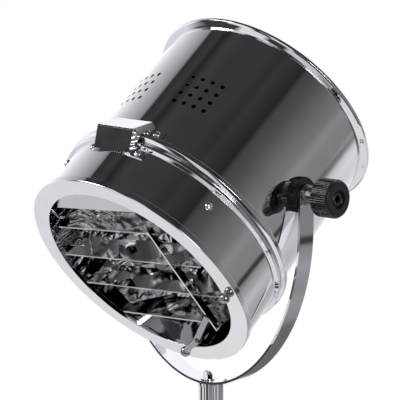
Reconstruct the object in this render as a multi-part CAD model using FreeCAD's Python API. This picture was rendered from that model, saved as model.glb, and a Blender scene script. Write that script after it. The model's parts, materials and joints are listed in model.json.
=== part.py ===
import FreeCAD, Part
import math
import os
from FreeCAD import Placement, Rotation, Vector

# Chrome spotlight on a floor tripod.  Millimetres, +Z up, origin on the floor under the mast.
# The lamp faces -Y and tilts about X.  Head pieces are drawn level, with s (along Y) measured
# rearwards from the front plane and t (along Z) upwards, and are then tilted into place.

# ---------------------------------------------------------------- driving sizes: whole lamp
pivot_height = 1500.0
head_tilt = 38.0
pivot_setback = 153.6
fit = 0.08
seat_gap = 0.3
near = 0.1
hair = 0.05
far = 900.0
overreach = 5.0
sheet = 1.5

# ---------------------------------------------------------------- driving sizes: head shell
bezel_radius = 150.0
bezel_depth = 8.0
bezel_plate = 2.0
opening_radius = 127.5
opening_lip_depth = 6.0
ring_radius = 146.5
ring_bead_start = 66.0
ring_bead_width = 5.5
ring_bead_rise = 2.0
ring_bead_height = 4.8
ring_end = 72.5
ring_end_round = 1.5
drum_radius = 142.5
drum_front = 52.0
drum_end = 276.0
seam_groove = 3.6
hoop_stand_off = 2.0
hoop_lap = 16.0
hoop_lap_margin = 10.0
drum_bead_slope = 3.0
drum_bead_width = 11.0
drum_bead_height = 10.5
hoop_wire = 1.6
rim_radius = 150.5
rim_start = 262.0
rim_lip_start = 281.0
head_length = 284.0
vent_radius = 2.9
vent_columns = 4
vent_pitch_angle = 5.45
vent_group_angle = 19.6
vent_rows = 4
vent_row_start = 150.5
vent_row_pitch = 13.7
ring_screw_count = 4
ring_screw_angle = 33.2
ring_screw_s = 49.0
screw_head_radius = 4.8
screw_head_height = 2.6
screw_shank_radius = 2.0
ring_screw_tip = 1.4

# ---------------------------------------------------------------- driving sizes: top bracket
bracket_roll = 2.2
bracket_width = 56.0
bracket_front_s = 55.0
bracket_top_s = 76.0
bracket_rear_s = 104.0
bracket_front_height = 1.0
bracket_top_height = 18.5
bracket_skirt = 12.0
bracket_rear_height = 7.0
bracket_sheet = 1.2
plate_width = 51.0
plate_margin = 1.5
plate_thickness = 0.8
tab_width = 11.0
tab_reach = 14.0
tab_lap = 3.0
tab_front_s = 59.0
tab_rear_s = 95.0
rivet_radius = 3.2
rivet_height = 2.0
rivet_shank_radius = 1.5
rivet_grip = 4.0
side_rivet_rise = 1.5

# ---------------------------------------------------------------- driving sizes: louvre
louvre_roll = 5.2
louvre_tube_radius = 133.0
louvre_tube_wall = 2.0
louvre_tube_end = 49.0
spindle_s = 24.5
spindle_radius = 2.0
spindle_weld = 14.0
blade_count = 4
blade_top_centre = 60.5
blade_pitch = 49.0
blade_half_width = 25.0
blade_thickness = 1.5
blade_sweep_radius = 124.0
blade_rest_angle = 20.0
blade_low_angle = -5.0
blade_high_angle = 75.0
link_arm = 23.5
ear_thickness = 1.5
ear_half_height = 3.2
link_pin_radius = 1.3
link_bar_x = 80.6
link_bar_thickness = 2.0
link_bar_depth = 8.2
link_bar_ahead = 1.2
link_bar_top = 80.5
link_lug_radius = 2.4
link_side_gap = 0.7
lever_start_t = -57.0
lever_end_x = 34.0
lever_end_t = -102.5
lever_end_ahead = 3.0
lever_width = 7.0
lever_thickness = 2.0
ferrule_radius = 4.0
ferrule_lap = 7.0
lever_ball_x = 6.0
lever_ball_t = -120.6
lever_ball_s = -14.0
lever_ball_radius = 6.5
top_plate_edge = 91.0
top_plate_s = 12.0
stop_ball_x = 133.0
stop_ball_t = -22.0
stop_ball_radius = 6.2
stop_ball_reach = 5.0
stop_ball_shank = 2.0
stop_ball_grip = 9.0

# ---------------------------------------------------------------- driving sizes: inside the head
reflector_mouth_s = 54.0
reflector_mouth_radius = 136.0
reflector_neck_s = 222.0
reflector_neck_radius = 27.0
reflector_sheet = 1.2
reflector_steps = 8
reflector_ring_width = 4.0
reflector_lip = 3.0
holder_radius = 22.0
holder_front_s = 200.0
holder_flange_radius = 32.0
holder_flange_thickness = 6.0
bulb_centre_s = 150.0
bulb_radius = 31.0
bulb_neck_radius = 15.0
bulb_cap_radius = 13.0
bulb_cap_depth = 24.0
cover_flat_s = 276.0
cover_dish = 7.0
cover_dish_radius = 110.0
cover_screw_count = 3
cover_screw_inset = 2.5
cover_seat_thickness = 2.0
cover_seat_width = 5.0
cover_middle_radius = 40.0
cover_step = 12.0
gland_drop = 75.0
gland_bore = 3.6
gland_radius = 9.0
gland_length = 16.0
gland_nut_radius = 11.0
gland_nut_length = 5.0
gland_thread_length = 7.0
gland_shoulder = 2.0

# ---------------------------------------------------------------- driving sizes: tilt pivot
hub_radius = 21.0
hub_outer_x = 151.0
hub_teeth = 36
hub_tooth_depth = 1.0
hub_blank_length = 15.0
bolt_hole_reach = 31.0
bolt_radius = 4.0
bolt_nut_radius = 8.0
bolt_nut_thickness = 5.0
strap_inner_x = 152.0
strap_thickness = 3.0
washer_radius = 12.0
outer_washer_thickness = 3.2
knob_neck_radius = 11.0
knob_neck_length = 4.0
knob_spacer_length = 13.7
knob_spacer_radius = 10.0
knob_radius = 22.4
knob_rib_depth = 1.0
knob_ribs = 56
knob_body_length = 22.0
knob_chamfer = 3.0
knob_face_radius = 20.4
knob_recess_radius = 11.4
knob_recess_depth = 4.0
bolt_end_short = 3.0
knob_boss_height = 2.0
knob_boss_margin = 3.5

# ---------------------------------------------------------------- driving sizes: yoke and stem
strap_width = 25.0
strap_straight = 40.0
strap_depth = 206.0
cap_nut_radius = 6.8
cap_nut_height = 9.0
cap_washer_radius = 9.0
cap_washer_thickness = 1.2
strap_screw_x = 29.0
stem_radius = 12.0
stem_wall = 2.0
stem_collar_radius = 13.2
stem_collar_height = 3.2
stud_radius = 4.0
conduit_radius = 5.0
conduit_wall = 1.0
conduit_x = 19.5
stem_share = 143.0 / 361.0
block_height = 44.0
block_radius = 20.0
block_socket_depth = 34.0
stem_socket_depth = 8.0
arm_height = 16.0
arm_wall = 4.0

# ---------------------------------------------------------------- driving sizes: thumb knobs
thumb_radius = 15.0
thumb_ribs = 24
thumb_rib_depth = 1.0
thumb_length = 14.0
thumb_shaft_radius = 4.0
thumb_reach = 9.0
thumb_lap = 1.0
thumb_collar_step = 3.0
thumb_collar_gap = 2.5

# ---------------------------------------------------------------- driving sizes: mast
lower_mast_radius = 16.0
lower_mast_wall = 1.5
mast_share = 120.0 / 361.0
lower_mast_bottom = 640.0
upper_mast_wall = 2.0
upper_mast_clearance = 70.0
clamp_radius = 21.0
clamp_height = 40.0
clamp_step = 4.0
mast_cap_thickness = 3.0
mast_plug_length = 10.0

# ---------------------------------------------------------------- driving sizes: tripod
leg_count = 3
first_leg_angle = -90.0
foot_circle = 390.0
hinge_circle = 42.0
hinge_height = 890.0
crown_radius = 27.0
crown_height = 46.0
crown_ear_thickness = 6.0
crown_ear_radius = 10.0
hinge_slot_margin = 1.5
leg_tongue_thickness = 9.0
leg_eye_radius = 11.0
hinge_bolt_radius = 4.0
hinge_head_radius = 7.0
hinge_head_thickness = 4.0
leg_upper_radius = 11.0
leg_wall = 1.5
leg_upper_end = 560.0
leg_lower_overlap = 120.0
leg_tube_start = 26.0
leg_tube_lap = 6.0
leg_plug_length = 8.0
leg_tongue_lap = 12.0
leg_lock_radius = 15.0
leg_lock_length = 42.0
leg_lock_below = 6.0
leg_lock_ribs = 24
leg_lock_rib_depth = 0.8
foot_radius = 17.0
foot_height = 24.0
foot_sleeve_radius = 13.0
foot_sleeve_length = 46.0
foot_socket_start = 14.0

# ---------------------------------------------------------------- sizes that follow
groove_end = ring_end + seam_groove
hoop_s = ring_end + seam_groove / 2
hoop_radius = drum_radius + seat_gap + hoop_wire + hoop_stand_off
drum_inner = drum_radius - sheet
rim_sleeve_radius = drum_inner - fit
cover_radius = rim_sleeve_radius - sheet - seat_gap
cover_seat_radius = cover_radius - cover_screw_inset
louvre_tube_inner = louvre_tube_radius - louvre_tube_wall
washer_inner_thickness = strap_inner_x - hub_outer_x
strap_outer_x = strap_inner_x + strap_thickness
spacer_start_x = strap_outer_x + outer_washer_thickness + seat_gap / 2
spacer_end_x = spacer_start_x + knob_spacer_length
knob_start_x = spacer_end_x + seat_gap
knob_ribs_x = knob_start_x + knob_neck_length
knob_face_x = knob_ribs_x + knob_body_length
knob_end_x = knob_face_x + knob_chamfer
strap_bottom = pivot_height - strap_straight - strap_depth
strap_underside = strap_bottom - strap_thickness
post_height = strap_underside - hinge_height
lower_mast_top = hinge_height + mast_share * post_height
block_top = strap_underside - stem_share * post_height
lower_mast_inner = lower_mast_radius - lower_mast_wall
upper_mast_radius = lower_mast_inner - fit
block_bottom = block_top - block_height
socket_radius = upper_mast_radius + fit
leg_lower_radius = leg_upper_radius - leg_wall - fit
leg_run = foot_circle - hinge_circle
leg_lean = math.degrees(math.atan2(leg_run, hinge_height - foot_height))
blade_centres = [blade_top_centre - blade_pitch * k for k in range(blade_count)]

Y_AXIS = Vector(0, 1, 0)
ORIGIN = Vector(0, 0, 0)
PIECES = {}


# ---------------------------------------------------------------- small helpers
def keep(name, shape):
    """Store a finished piece under its name."""
    PIECES[name] = shape


def spun(points, angle=360.0, start=0.0):
    """Turn a closed outline of (s, radius) points about the head axis."""
    corners = [Vector(r, s, 0) for s, r in points]
    face = Part.Face(Part.makePolygon(corners + [corners[0]]))
    solid = face.revolve(ORIGIN, Vector(0, -1, 0), angle)
    solid.rotate(ORIGIN, Vector(0, -1, 0), start)
    return solid


def side_line(points, wall):
    """Shift an open line to its right-hand side by the wall, with mitred corners."""
    normals = []
    for (a0, b0), (a1, b1) in zip(points, points[1:]):
        length = math.hypot(a1 - a0, b1 - b0)
        normals.append(((b1 - b0) / length, -(a1 - a0) / length))
    shifted = []
    for k, (a, b) in enumerate(points):
        before = normals[max(k - 1, 0)]
        after = normals[min(k, len(normals) - 1)]
        bend = 1 + before[0] * after[0] + before[1] * after[1]
        shift_a = (before[0] + after[0]) / bend * wall
        shift_b = (before[1] + after[1]) / bend * wall
        shifted.append((a + shift_a, b + shift_b))
    return shifted


def spun_sheet(points, wall):
    """Spin a sheet whose outer line is given; the wall lies to the line's right."""
    return spun(points + side_line(points, wall)[::-1])


def rod(start, end, radius):
    """Round bar between two points."""
    direction = end - start
    return Part.makeCylinder(radius, direction.Length, start, direction)


def tube(start, end, radius, bore):
    """Round tube between two points."""
    return rod(start, end, radius).cut(rod(start, end, bore))


def box(low, high):
    """Block between two opposite corners."""
    size = high - low
    return Part.makeBox(size.x, size.y, size.z, low)


def joined(shapes):
    """Fuse pieces of one casting, weldment or pressing into one solid."""
    result = shapes[0].fuse(shapes[1:])
    return result.removeSplitter()


def dome(radius, height, base, direction):
    """Shallow round head on a flat base."""
    sphere_radius = (radius * radius + height * height) / (2 * height)
    centre = Vector(0, 0, height - sphere_radius)
    ball = Part.makeSphere(sphere_radius, centre)
    cap = ball.common(Part.makeCylinder(radius + 1, height + 1))
    cap.Placement = Placement(base, Rotation(Vector(0, 0, 1), direction))
    return cap


def dome_screw(base, direction, head_radius, head_height, shank_radius, grip):
    """Dome-headed screw or rivet; its shank runs back from the head by the grip."""
    head = dome(head_radius, head_height, base, direction)
    unit = Vector(direction).normalize()
    return head.fuse(rod(base - unit * grip, base + unit * 0.2, shank_radius))


def ribbed(radius, depth, count, length):
    """Finely ribbed round bar along Z from the origin."""
    corners = []
    for k in range(2 * count):
        r = radius - depth * (k % 2)
        a = math.pi * k / count
        corners.append(Vector(r * math.cos(a), r * math.sin(a), 0))
    return Part.Face(Part.makePolygon(corners + [corners[0]])).extrude(Vector(0, 0, length))


def place_head(shape):
    """Carry a level head piece to the tilted head."""
    placed = shape.copy()
    placed.translate(Vector(0, -pivot_setback, 0))
    placed.rotate(ORIGIN, Vector(1, 0, 0), head_tilt)
    placed.translate(Vector(0, 0, pivot_height))
    return placed


def place_louvre(shape):
    """Carry a piece drawn square to the blades into the rolled louvre, then to the head."""
    rolled = shape.copy()
    rolled.rotate(ORIGIN, Y_AXIS, -louvre_roll)
    return place_head(rolled)


def place_bracket(shape):
    """Carry a bracket piece, drawn square, round the shell to its place and then to the head."""
    rolled = shape.copy()
    rolled.rotate(ORIGIN, Y_AXIS, bracket_roll)
    return place_head(rolled)


def radial(angle, radius, s):
    """Point on the head at an angle from +X towards +t."""
    a = math.radians(angle)
    return Vector(radius * math.cos(a), s, radius * math.sin(a))


def compound(shapes):
    """Group of separate alike solids."""
    return Part.makeCompound(shapes)


# ---------------------------------------------------------------- head shell
def front_shell():
    """Front plate with its rolled edges, and the ring behind it."""
    bezel_inner = ring_radius + fit
    edge_round = bezel_plate / 2
    bezel = spun([
        (0, opening_radius), (0, bezel_radius - edge_round), (edge_round, bezel_radius),
        (bezel_depth, bezel_radius), (bezel_depth, bezel_inner), (bezel_plate, bezel_inner),
        (bezel_plate, opening_radius + sheet), (opening_lip_depth, opening_radius + sheet),
        (opening_lip_depth, opening_radius),
    ])
    shank = rod(Vector(0, -1, 0), Vector(0, opening_lip_depth, 0), stop_ball_shank + fit)
    shank.translate(Vector(stop_ball_x, 0, stop_ball_t))
    shank.rotate(ORIGIN, Y_AXIS, -louvre_roll)
    keep("bezel", place_head(bezel.cut(shank)))

    crest = ring_radius + ring_bead_height
    line = [
        (bezel_plate, ring_radius), (ring_bead_start, ring_radius),
        (ring_bead_start + ring_bead_rise, crest), (ring_bead_start + ring_bead_width, crest),
        (ring_end, crest - ring_end_round), (ring_end, drum_radius + fit + near),
    ]
    ring = spun_sheet(line, sheet)
    holes = []
    for k in range(ring_screw_count):
        angle = ring_screw_angle + 360.0 / ring_screw_count * k
        holes.append(rod(radial(angle, drum_radius, ring_screw_s),
                         radial(angle, bezel_radius, ring_screw_s), screw_shank_radius + fit))
    for angle, s, surface in tab_spots():
        if s < ring_end:
            holes.append(rod(radial(angle - bracket_roll, surface - 2 * sheet, s),
                             radial(angle - bracket_roll, surface + sheet, s), rivet_shank_radius + fit))
    keep("front_ring", place_head(ring.cut(holes)))

    screws = []
    for k in range(ring_screw_count):
        angle = ring_screw_angle + 360.0 / ring_screw_count * k
        base = radial(angle, ring_radius + hair, ring_screw_s)
        screws.append(place_head(dome_screw(base, Vector(base.x, 0, base.z), screw_head_radius,
                                            screw_head_height, screw_shank_radius, ring_screw_grip())))
    keep("ring_screws", compound(screws))


def ring_screw_grip():
    """The ring screws end just short of the drum's spigot, which starts behind them."""
    return sheet + ring_screw_tip


def drum_shell():
    """Drum with its bead and vents, rear rim and wire hoop."""
    crest = drum_radius + drum_bead_height
    line = [
        (drum_front, drum_radius), (groove_end, drum_radius),
        (groove_end, crest - drum_bead_slope), (groove_end + drum_bead_slope, crest),
        (groove_end + drum_bead_width - drum_bead_slope, crest),
        (groove_end + drum_bead_width, drum_radius), (drum_end, drum_radius),
    ]
    drum = spun_sheet(line, sheet)
    holes = []
    for side in (-1, 1):
        for column in range(vent_columns):
            offset = (column - (vent_columns - 1) / 2) * vent_pitch_angle
            angle = 90 + side * vent_group_angle + offset
            for row in range(vent_rows):
                s = vent_row_start + vent_row_pitch * row
                holes.append(rod(radial(angle, drum_inner - 3, s),
                                 radial(angle, drum_radius + 3, s), vent_radius))
    for side in (-1, 1):
        holes.append(rod(Vector(side * (drum_inner - 5), pivot_setback, 0),
                         Vector(side * (drum_radius + 5), pivot_setback, 0), bolt_radius + fit))
    for angle, s, surface in tab_spots():
        if s > ring_end:
            holes.append(rod(radial(angle - bracket_roll, surface - 2 * sheet, s),
                             radial(angle - bracket_roll, surface + sheet, s), rivet_shank_radius + fit))
    keep("drum", place_head(drum.cut(holes)))

    rim_line = [
        (rim_start, rim_sleeve_radius), (drum_end + seat_gap, rim_sleeve_radius),
        (drum_end + seat_gap + sheet, drum_radius + sheet), (rim_lip_start - sheet, rim_radius - sheet),
        (rim_lip_start, rim_radius), (head_length, rim_radius),
    ]
    rim = spun_sheet(rim_line, sheet)
    seat_front = cover_flat_s - cover_seat_thickness
    seat_inner = cover_radius + seat_gap - cover_seat_width
    seat = spun([(seat_front, rim_sleeve_radius - sheet / 2), (seat_front, seat_inner),
                 (cover_flat_s, seat_inner), (cover_flat_s, rim_sleeve_radius - sheet / 2)])
    keep("rear_rim", place_head(joined([rim, seat])))

    end_angle = 90 - math.degrees(math.asin(hoop_lap / hoop_radius)) - hoop_lap_margin
    sweep = 360 - 2 * (90 - end_angle)
    ring_wire = Part.Wire(Part.makeCircle(hoop_wire, Vector(hoop_radius, hoop_s, 0), Vector(0, 0, 1)))
    hoop = Part.Face(ring_wire).revolve(ORIGIN, Vector(0, -1, 0), sweep)
    hoop.rotate(ORIGIN, Vector(0, -1, 0), 180 - end_angle)
    parts = [hoop]
    for side in (-1, 1):
        a = math.radians(end_angle)
        point = Vector(side * hoop_radius * math.cos(a), hoop_s, hoop_radius * math.sin(a))
        tangent = Vector(-side * math.sin(a), 0, math.cos(a))
        parts.append(rod(point, point + tangent * hoop_lap, hoop_wire))
    keep("clamp_hoop", place_head(joined(parts)))


# ---------------------------------------------------------------- top bracket
def tab_spots():
    """Rivet places of the bracket's four tabs: angle, s and the surface radius under each."""
    spots = []
    for s, surface in ((tab_front_s, ring_radius), (tab_rear_s, drum_radius)):
        reach = math.degrees(math.asin((bracket_width / 2 + tab_reach * 0.55) / surface))
        spots += [(90 - reach, s, surface), (90 + reach, s, surface)]
    return spots


def shell_envelope():
    """Solid outside of the ring, hoop and drum, which the bracket sits over."""
    ring_crest = ring_radius + ring_bead_height + near
    drum_crest = drum_radius + drum_bead_height + near
    return spun([
        (0, 0), (0, ring_radius + near), (ring_bead_start - near, ring_radius + near),
        (ring_bead_start + 1.9, ring_crest), (groove_end, ring_crest), (groove_end + 2, drum_crest),
        (groove_end + drum_bead_width - 2.8, drum_crest),
        (groove_end + drum_bead_width + 0.2, drum_radius + near), (drum_end, drum_radius + near),
        (drum_end, 0),
    ])


def top_bracket():
    """Sloped sheet cover over the hoop's ends, its blank plate, tabs and rivets."""
    low = drum_radius - bracket_skirt
    front = (bracket_front_s, ring_radius + bracket_front_height)
    top = (bracket_top_s, ring_radius + bracket_top_height)
    rear = (bracket_rear_s, drum_radius + bracket_rear_height)
    half = bracket_width / 2

    def prism(points, half_width):
        corners = [Vector(-half_width, s, t) for s, t in points]
        face = Part.Face(Part.makePolygon(corners + [corners[0]]))
        return face.extrude(Vector(2 * half_width, 0, 0))

    outer_line = [(front[0], low), front, top, rear, (rear[0], low)]
    inner_line = side_line(outer_line, bracket_sheet)
    inner_line[0] = (inner_line[0][0], low - 1)
    inner_line[-1] = (inner_line[-1][0], low - 1)
    cover = prism(outer_line, half).cut(prism(inner_line, half - bracket_sheet))
    pieces = [cover]
    for angle, s, surface in tab_spots():
        span = math.degrees((tab_reach + tab_lap) / surface)
        start = angle - span / 2
        strip = spun([
            (s - tab_width / 2, surface + near), (s + tab_width / 2, surface + near),
            (s + tab_width / 2, surface + near + bracket_sheet),
            (s - tab_width / 2, surface + near + bracket_sheet),
        ], span, start)
        pieces.append(strip)
    bracket = joined(pieces).cut(shell_envelope())
    holes = []
    for angle, s, surface in tab_spots():
        holes.append(rod(radial(angle, surface - 2, s), radial(angle, surface + 8, s),
                         rivet_shank_radius + fit))
    side_rivet_t = (front[1] + top[1]) / 2 + side_rivet_rise
    holes.append(rod(Vector(-half - 5, bracket_top_s, side_rivet_t),
                     Vector(half + 5, bracket_top_s, side_rivet_t), rivet_shank_radius + fit))
    slope = Vector(0, top[0] - front[0], top[1] - front[1])
    keep("top_bracket", place_bracket(bracket.cut(holes)))

    rivets = []
    for angle, s, surface in tab_spots():
        base = radial(angle, surface + near + bracket_sheet + 0.15, s)
        rivets.append(dome_screw(base, Vector(base.x, 0, base.z), rivet_radius, rivet_height,
                                 rivet_shank_radius, rivet_grip))
    for side in (-1, 1):
        base = Vector(side * (half + hair), bracket_top_s, side_rivet_t)
        rivets.append(dome_screw(base, Vector(side, 0, 0), rivet_radius, rivet_height,
                                 rivet_shank_radius, rivet_grip))
    keep("bracket_rivets", compound([place_bracket(r) for r in rivets]))

    face_length = math.hypot(top[0] - front[0], top[1] - front[1])
    plate = Part.makeBox(plate_width, face_length - 2 * plate_margin, plate_thickness)
    plate.translate(Vector(-plate_width / 2, -(face_length - 2 * plate_margin) / 2, hair))
    angle = math.degrees(math.atan2(slope.z, slope.y))
    plate.rotate(ORIGIN, Vector(1, 0, 0), angle)
    middle = Vector(0, (front[0] + top[0]) / 2, (front[1] + top[1]) / 2)
    plate.translate(middle)
    keep("bracket_plate", place_bracket(plate))


# ---------------------------------------------------------------- louvre
def blade_half_length(centre, along):
    """Half length of a blade at a distance from its spindle, clear of the sweep circle."""
    travel = []
    for angle in (blade_low_angle, blade_high_angle, 0.0):
        travel.append(abs(centre + along * math.sin(math.radians(angle))))
    return math.sqrt(blade_sweep_radius ** 2 - max(travel) ** 2)


def louvre():
    """Frame tube, four pivoting blades, the link bar with its lever, and the fixed top plate."""
    frame = spun([
        (bezel_plate, louvre_tube_inner), (bezel_plate, ring_radius - sheet - seat_gap),
        (bezel_plate + sheet, ring_radius - sheet - seat_gap), (bezel_plate + sheet, louvre_tube_radius),
        (louvre_tube_end, louvre_tube_radius), (louvre_tube_end, louvre_tube_inner),
    ])
    holes = []
    for centre in blade_centres:
        holes.append(rod(Vector(-louvre_tube_radius - overreach, spindle_s, centre),
                         Vector(louvre_tube_radius + overreach, spindle_s, centre), spindle_radius + fit))
    holes.append(rod(Vector(stop_ball_x, 0, stop_ball_t), Vector(stop_ball_x, 3 * overreach, stop_ball_t),
                     stop_ball_shank + fit))
    keep("louvre_frame", place_louvre(frame.cut(holes)))

    for index, centre in enumerate(blade_centres):
        outline = []
        for along in (-1.0, -0.5, 0.0, 0.5, 1.0):
            u = along * blade_half_width
            outline.append((blade_half_length(centre, u), u))
        corners = [Vector(x, -u, 0) for x, u in outline] + [Vector(-x, -u, 0) for x, u in outline[::-1]]
        face = Part.Face(Part.makePolygon(corners + [corners[0]]))
        sheet_metal = face.extrude(Vector(0, 0, blade_thickness))
        sheet_metal.translate(Vector(0, 0, -blade_thickness / 2))
        reach = math.sqrt(louvre_tube_radius ** 2 - centre ** 2) + 1.0
        half = blade_half_length(centre, 0.0) - spindle_weld
        pieces = [sheet_metal]
        for side in (-1, 1):
            pieces.append(rod(Vector(side * half, 0, 0), Vector(side * reach, 0, 0), spindle_radius))
        slot_low = link_bar_x - link_side_gap
        slot_high = link_bar_x + link_bar_thickness + link_side_gap
        for ear_x in (slot_low - ear_thickness, slot_high):
            pieces.append(rod(Vector(ear_x, -link_arm, 0), Vector(ear_x + ear_thickness, -link_arm, 0),
                              ear_half_height))
        slot = box(Vector(slot_low, -blade_half_width - overreach, -overreach),
                   Vector(slot_high, -link_arm + link_lug_radius + link_side_gap, overreach))
        pin = rod(Vector(slot_low - ear_thickness, -link_arm, 0),
                  Vector(slot_high + ear_thickness, -link_arm, 0), link_pin_radius)
        blade = joined([joined(pieces).cut(slot), pin])
        blade.rotate(ORIGIN, Vector(1, 0, 0), -blade_rest_angle)
        blade.translate(Vector(0, spindle_s, centre))
        keep("louvre_blade_%d" % (index + 1), place_louvre(blade))

    rest = math.radians(blade_rest_angle)
    pin_s = spindle_s - link_arm * math.cos(rest)
    rise = link_arm * math.sin(rest)
    bar_rear = pin_s - link_bar_ahead
    bar_front = bar_rear - link_bar_depth
    lowest_pin = blade_centres[-1] + rise
    bar_foot_t = lowest_pin - link_lug_radius
    bar = box(Vector(link_bar_x, bar_front, bar_foot_t),
              Vector(link_bar_x + link_bar_thickness, bar_rear, link_bar_top))
    pieces = [bar]
    holes = []
    for centre in blade_centres:
        t = centre + rise
        pieces.append(rod(Vector(link_bar_x, pin_s, t), Vector(link_bar_x + link_bar_thickness, pin_s, t),
                          link_lug_radius))
        pieces.append(box(Vector(link_bar_x, bar_rear - 1, t - link_lug_radius),
                          Vector(link_bar_x + link_bar_thickness, pin_s, t + link_lug_radius)))
        holes.append(rod(Vector(link_bar_x - 1, pin_s, t),
                         Vector(link_bar_x + link_bar_thickness + 1, pin_s, t), link_pin_radius + fit))
    keep("link_bar", place_louvre(joined(pieces).cut(holes)))

    start = Vector(link_bar_x + link_bar_thickness, bar_front - lever_thickness / 2, lever_start_t)
    end = Vector(lever_end_x, start.y - lever_end_ahead, lever_end_t)
    length = (end - start).Length
    strip = Part.makeBox(length, lever_thickness, lever_width,
                         Vector(0, -lever_thickness / 2, -lever_width / 2))
    slope = math.degrees(math.atan2(end.z - start.z, end.x - start.x))
    strip.rotate(ORIGIN, Vector(0, 0, 1), math.degrees(math.asin((start.y - end.y) / length)) * -1)
    strip.rotate(ORIGIN, Y_AXIS, -slope)
    strip.translate(start)
    strip = strip.cut(box(Vector(0, bar_front, -far), Vector(far, far, far)))
    ball_centre = Vector(lever_ball_x, lever_ball_s, lever_ball_t)
    back = (end - ball_centre).normalize()
    ferrule = rod(end + back * ferrule_lap, ball_centre, ferrule_radius)
    ferrule = ferrule.cut(box(Vector(0, bar_front - seat_gap, -far), Vector(far, far, far)))
    lever = joined([strip, ferrule]).cut(Part.makeSphere(lever_ball_radius + 0.02, ball_centre))
    keep("shutter_lever", place_louvre(lever))
    keep("lever_ball", place_louvre(Part.makeSphere(lever_ball_radius, ball_centre)))

    segment_radius = louvre_tube_inner - hair
    disc = rod(Vector(0, top_plate_s, 0), Vector(0, top_plate_s + sheet, 0), segment_radius)
    cutter = box(Vector(-far, -far, -far), Vector(far, far, top_plate_edge))
    closed = math.radians(blade_high_angle)
    bar_reach = link_bar_top + link_arm * (math.sin(closed) - math.sin(rest))
    bar_slot = box(Vector(link_bar_x - 2 * link_side_gap, top_plate_s - overreach, 0),
                   Vector(link_bar_x + link_bar_thickness + 2 * link_side_gap,
                          top_plate_s + overreach, bar_reach + 2 * link_side_gap))
    keep("top_louvre_plate", place_louvre(disc.cut([cutter, bar_slot])))

    ball = Part.makeSphere(stop_ball_radius, Vector(stop_ball_x, -stop_ball_reach, stop_ball_t))
    ball = ball.cut(box(Vector(stop_ball_x - 3 * stop_ball_radius, -hair,
                               stop_ball_t - 3 * stop_ball_radius),
                        Vector(stop_ball_x + 3 * stop_ball_radius, far,
                               stop_ball_t + 3 * stop_ball_radius)))
    shank = rod(Vector(stop_ball_x, -stop_ball_reach, stop_ball_t),
                Vector(stop_ball_x, stop_ball_grip, stop_ball_t), stop_ball_shank)
    keep("stop_ball", place_louvre(joined([ball, shank])))


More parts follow.
